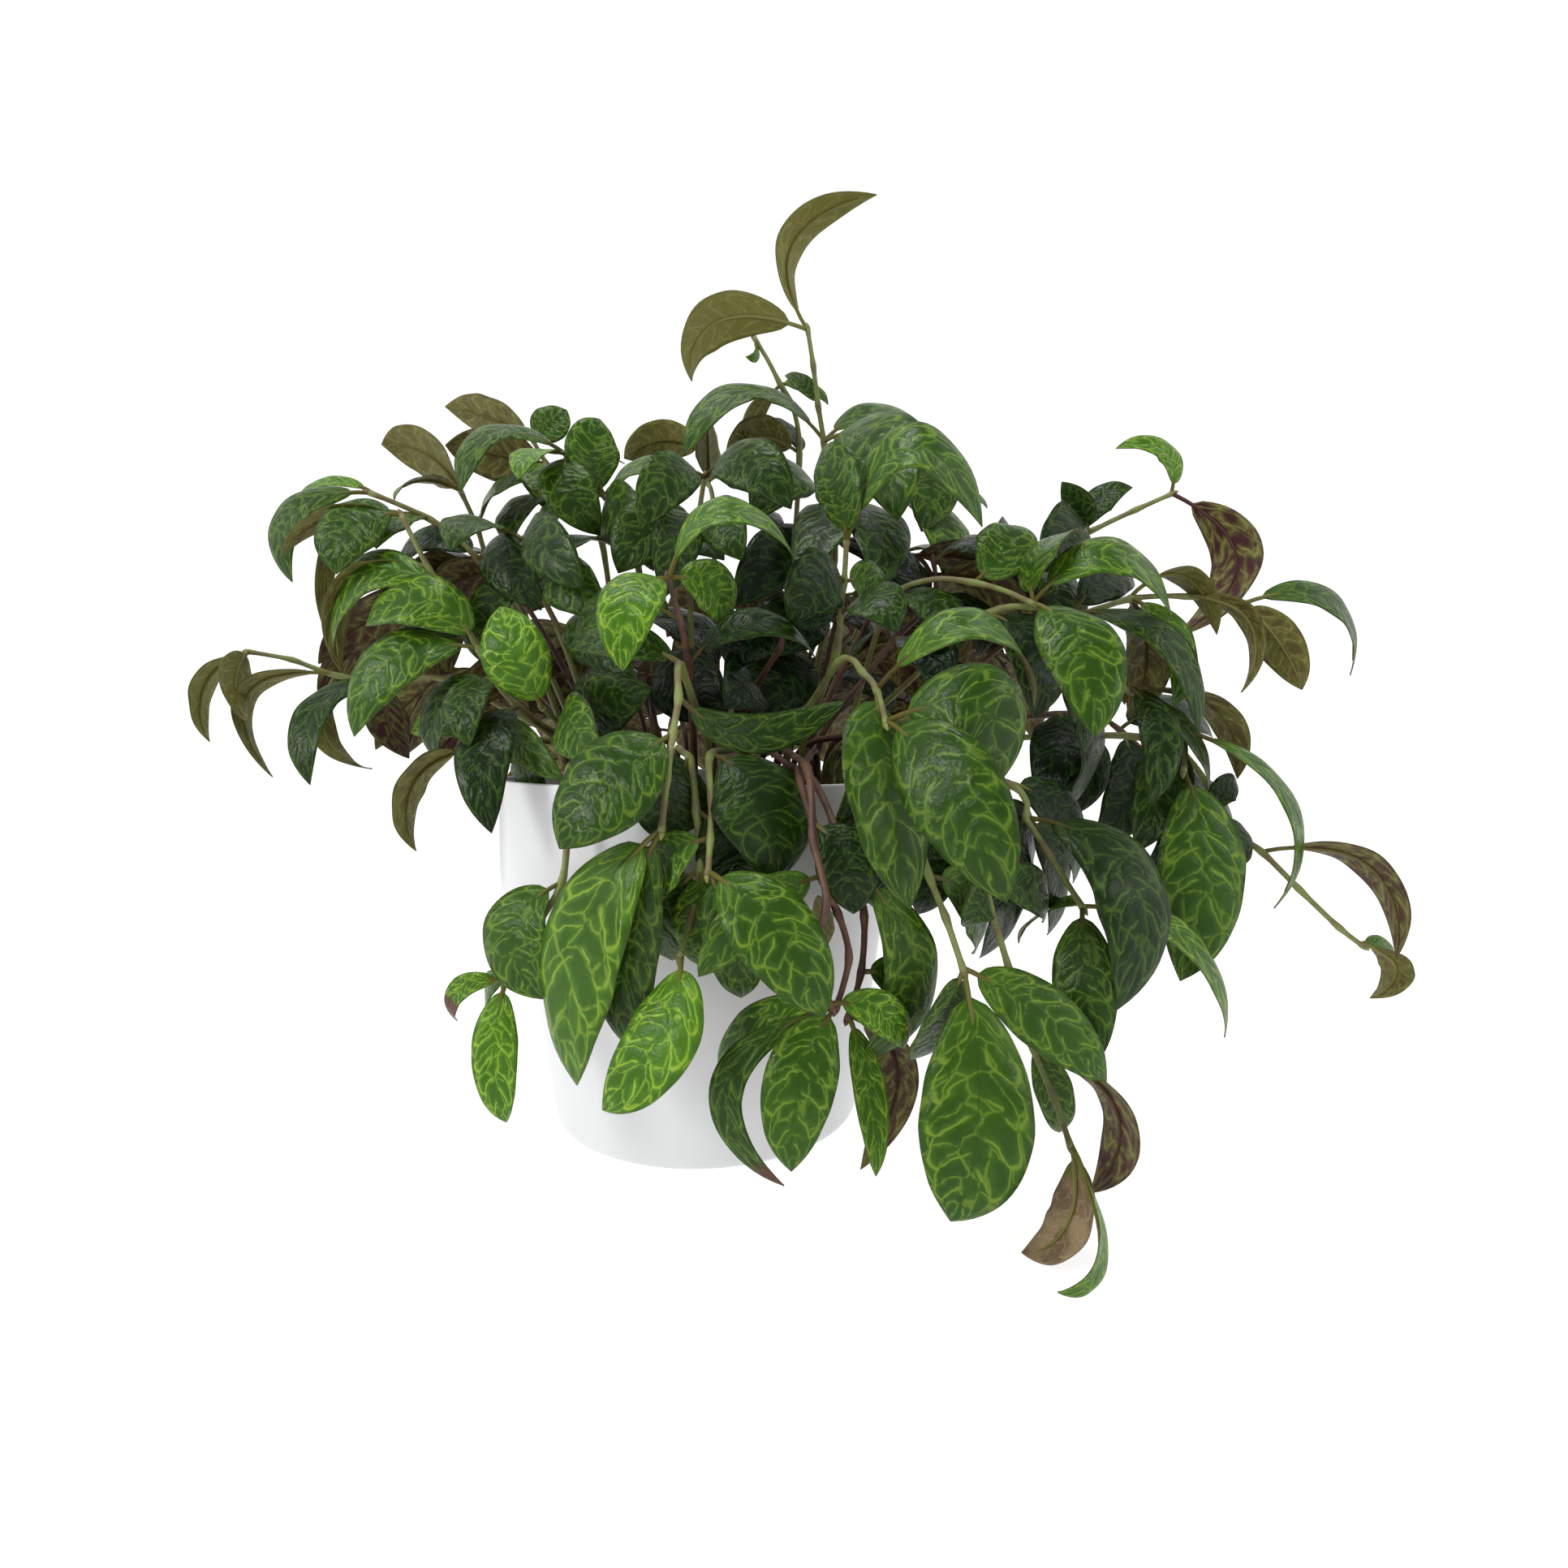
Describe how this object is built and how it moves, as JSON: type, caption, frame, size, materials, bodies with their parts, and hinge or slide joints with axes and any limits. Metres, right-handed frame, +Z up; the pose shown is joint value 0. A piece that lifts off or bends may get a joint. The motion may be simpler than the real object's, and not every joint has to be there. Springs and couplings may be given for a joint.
{
  "type": "potted lipstick vine",
  "caption": "Trailing lipstick vine: arching, net-patterned green leaves in opposite pairs on drooping stems, rooted in soil in a plain white collared plastic pot.",
  "frame": {"origin": "centre of the pot's flat base, on the surface it stands on", "axes": "+Z up, -Y towards the side that the picture shows, +X to that side's right"},
  "size_m": [0.498, 0.3343, 0.3807],
  "materials": {
    "pot_white": "smooth white plastic with a soft sheen",
    "potting_mix": "dark, crumbly, damp",
    "foliage": "waxy dark green with a paler net, olive to maroon beneath"
  },
  "bodies": {
    "root": {"pot": "pot_white", "soil": "potting_mix", "stem_back_01": "foliage", "stem_back_02": "foliage", "stem_back_03": "foliage", "stem_back_04": "foliage", "stem_back_05": "foliage", "stem_back_06": "foliage", "stem_back_07": "foliage", "stem_back_08": "foliage", "stem_back_09": "foliage", "stem_back_10": "foliage", "stem_back_11": "foliage", "stem_back_12": "foliage", "stem_back_13": "foliage", "stem_big_leaf": "foliage", "stem_crown_back": "foliage", "stem_crown_left": "foliage", "stem_crown_low": "foliage", "stem_crown_mid": "foliage", "stem_crown_right": "foliage", "stem_crown_top": "foliage", "stem_drape": "foliage", "stem_drape_2": "foliage", "stem_drape_3": "foliage", "stem_far_left": "foliage", "stem_far_right": "foliage", "stem_floor": "foliage", "stem_fore": "foliage", "stem_joint": "foliage", "stem_left_front": "foliage", "stem_left_low": "foliage", "stem_left_mid": "foliage", "stem_left_upper": "foliage", "stem_middle": "foliage", "stem_oval": "foliage", "stem_pale_left": "foliage", "stem_right_bow": "foliage", "stem_right_fall": "foliage", "stem_right_long": "foliage", "stem_right_shoot": "foliage", "stem_right_side": "foliage", "stem_russet": "foliage", "stem_russet_2": "foliage", "stem_shade_deep": "foliage", "stem_shade_left": "foliage", "stem_shade_low": "foliage", "stem_shade_mid": "foliage", "stem_shade_right": "foliage", "stem_shade_side": "foliage", "stem_shoot": "foliage", "stem_tall": "foliage", "stem_twig": "foliage"}
  },
  "joints": []
}
